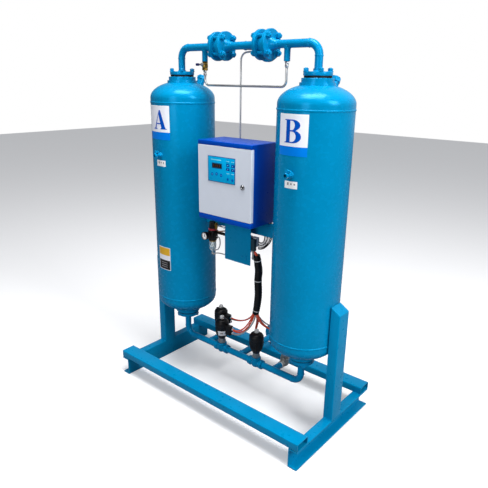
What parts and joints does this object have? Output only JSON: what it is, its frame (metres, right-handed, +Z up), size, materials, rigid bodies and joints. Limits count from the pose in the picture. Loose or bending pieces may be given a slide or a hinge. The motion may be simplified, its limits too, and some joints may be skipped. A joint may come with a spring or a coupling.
{
  "type": "twin tower desiccant air dryer",
  "caption": "Twin-tower heatless desiccant dryer for compressed air on a steel skid, with switching valves, check valves, purge line, filter regulator and control cabinet.",
  "frame": {"origin": "on the floor, midway between the two tower axes, under the middle of the base frame", "axes": "+X from tower A to tower B, +Y from the control cabinet's door to the back, +Z up"},
  "size_m": [1.225, 0.65, 1.834],
  "materials": {
    "sky_paint": "gloss",
    "navy_paint": "gloss",
    "door_paint": "satin",
    "panel_film": "gloss",
    "key_film": "satin",
    "black_plastic": "satin",
    "grey_plastic": "satin",
    "clear_plastic": "gloss",
    "stainless": "satin",
    "chrome": "polished",
    "brass": "satin",
    "rubber": "matte",
    "alumina": "matte"
  },
  "bodies": {
    "root": {"base_channel_left": "sky_paint", "base_channel_right": "sky_paint", "front_rail": "sky_paint", "rear_rail": "sky_paint", "post_left": "sky_paint", "post_right": "sky_paint", "tower_shell_a": "sky_paint", "tower_shell_b": "sky_paint", "fill_cap_a": "sky_paint", "fill_cap_b": "sky_paint", "outlet_pipe_a": "sky_paint", "outlet_pipe_b": "sky_paint", "check_valve_a": "sky_paint", "check_valve_b": "sky_paint", "bottom_pipe_a": "sky_paint", "bottom_pipe_b": "sky_paint", "inlet_valve_body_a": "sky_paint", "inlet_valve_body_b": "sky_paint", "outlet_tee": "sky_paint", "inlet_tee": "sky_paint", "support_bridge": "sky_paint", "valve_plate": "sky_paint", "desiccant_bed_a": "alumina", "desiccant_bed_b": "alumina", "top_gasket_a": "rubber", "top_gasket_b": "rubber", "tube_bundle": "rubber", "exhaust_valve_body_a": "stainless", "exhaust_valve_body_b": "stainless", "purge_tube": "stainless", "pilot_tube": "stainless", "purge_valve": "brass", "inlet_actuator_a": "black_plastic", "inlet_actuator_b": "black_plastic", "exhaust_actuator_a": "black_plastic", "exhaust_actuator_b": "black_plastic", "regulator_body": "black_plastic", "exhaust_silencer_a": "grey_plastic", "exhaust_silencer_b": "grey_plastic", "solenoid_manifold": "grey_plastic", "cabinet_body": "navy_paint", "pressure_gauge": "chrome", "regulator_bowl": "clear_plastic"},
    "door": {"cabinet_door": "door_paint", "control_panel": "panel_film", "controller_board": "grey_plastic"},
    "latch": {"cabinet_latch": "chrome"},
    "key_up_left": {"key_up_left": "key_film"},
    "key_up_right": {"key_up_right": "key_film"},
    "key_down_left": {"key_down_left": "key_film"},
    "key_down_right": {"key_down_right": "key_film"},
    "check_disc_a": {"check_disc_a": "stainless"},
    "check_disc_b": {"check_disc_b": "stainless"},
    "inlet_stem_a": {"inlet_stem_a": "stainless"},
    "inlet_stem_b": {"inlet_stem_b": "stainless"},
    "exhaust_stem_a": {"exhaust_stem_a": "stainless"},
    "exhaust_stem_b": {"exhaust_stem_b": "stainless"},
    "purge_lever": {"purge_lever": "black_plastic"},
    "regulator_knob": {"regulator_knob": "black_plastic"},
    "gauge_pointer": {"gauge_pointer": "rubber"}
  },
  "joints": [
    {"name": "door_hinge", "type": "hinge", "parent": "root", "child": "door", "pos_m": [-0.13, -0.148, 1.18], "axis": [0, 0, -1], "range_deg": [0, 115]},
    {"name": "latch_turn", "type": "hinge", "parent": "door", "child": "latch", "pos_m": [0.147, -0.165, 1.176], "axis": [0, 1, 0], "range_deg": [-90, 0]},
    {"name": "key_up_left_press", "type": "slide", "parent": "door", "child": "key_up_left", "axis": [0, 1, 0], "range_m": [0, 0.0005]},
    {"name": "key_up_right_press", "type": "slide", "parent": "door", "child": "key_up_right", "axis": [0, 1, 0], "range_m": [0, 0.0005]},
    {"name": "key_down_left_press", "type": "slide", "parent": "door", "child": "key_down_left", "axis": [0, 1, 0], "range_m": [0, 0.0005]},
    {"name": "key_down_right_press", "type": "slide", "parent": "door", "child": "key_down_right", "axis": [0, 1, 0], "range_m": [0, 0.0005]},
    {"name": "check_disc_a_lift", "type": "slide", "parent": "root", "child": "check_disc_a", "axis": [1, 0, 0], "range_m": [0, 0.008]},
    {"name": "check_disc_b_lift", "type": "slide", "parent": "root", "child": "check_disc_b", "axis": [-1, 0, 0], "range_m": [0, 0.008]},
    {"name": "inlet_stem_a_lift", "type": "slide", "parent": "root", "child": "inlet_stem_a", "axis": [0, 0, 1], "range_m": [0, 0.012]},
    {"name": "inlet_stem_b_lift", "type": "slide", "parent": "root", "child": "inlet_stem_b", "axis": [0, 0, 1], "range_m": [0, 0.012]},
    {"name": "exhaust_stem_a_lift", "type": "slide", "parent": "root", "child": "exhaust_stem_a", "axis": [0, 0, 1], "range_m": [0, 0.012]},
    {"name": "exhaust_stem_b_lift", "type": "slide", "parent": "root", "child": "exhaust_stem_b", "axis": [0, 0, 1], "range_m": [0, 0.012]},
    {"name": "purge_lever_turn", "type": "hinge", "parent": "root", "child": "purge_lever", "pos_m": [-0.239, -0.023, 1.693], "axis": [0, -1, 0], "range_deg": [0, 90]},
    {"name": "regulator_knob_turn", "type": "hinge", "parent": "root", "child": "regulator_knob", "pos_m": [-0.14, -0.06, 0.925], "axis": [0, 0, 1], "range_deg": [-720, 720]},
    {"name": "gauge_pointer_turn", "type": "hinge", "parent": "root", "child": "gauge_pointer", "pos_m": [-0.14, -0.117, 0.883], "axis": [0, 1, 0], "range_deg": [-135, 135]}
  ]
}
